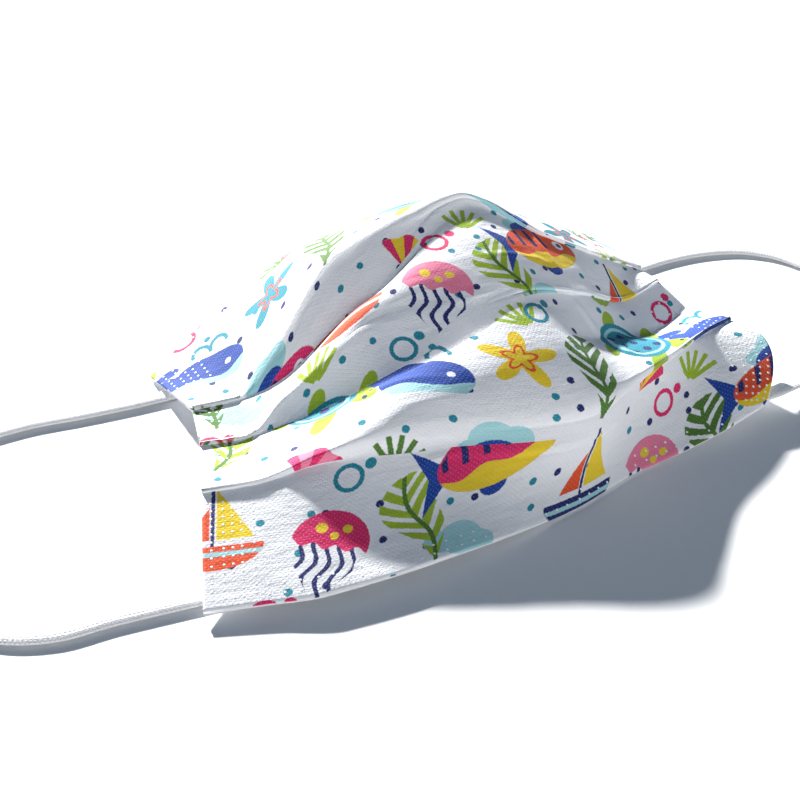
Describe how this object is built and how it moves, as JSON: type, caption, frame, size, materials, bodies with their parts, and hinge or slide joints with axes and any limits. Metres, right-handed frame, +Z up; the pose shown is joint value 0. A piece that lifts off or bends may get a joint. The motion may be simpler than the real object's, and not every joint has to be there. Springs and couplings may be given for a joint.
{
  "type": "child's disposable pleated face mask with two ear loops",
  "caption": "Child's disposable pleated face mask of printed non-woven cloth, opened and laid outside up, with flat elastic ear loops.",
  "frame": {"origin": "centre of the cloth's footprint, on the surface that the mask lies on", "axes": "+X across the mask along its pleats, towards the end that is on the right when the nose edge is away; +Y towards the nose edge; +Z up, out of the outside of the cloth"},
  "size_m": [0.2616, 0.107, 0.044],
  "materials": {
    "cloth": "matt white spunbond non-woven with a printed pattern",
    "elastic": "matt white knitted elastic"
  },
  "bodies": {
    "root": {"mask_body": "cloth", "ear_loop_left": "elastic", "ear_loop_right": "elastic"}
  },
  "joints": []
}
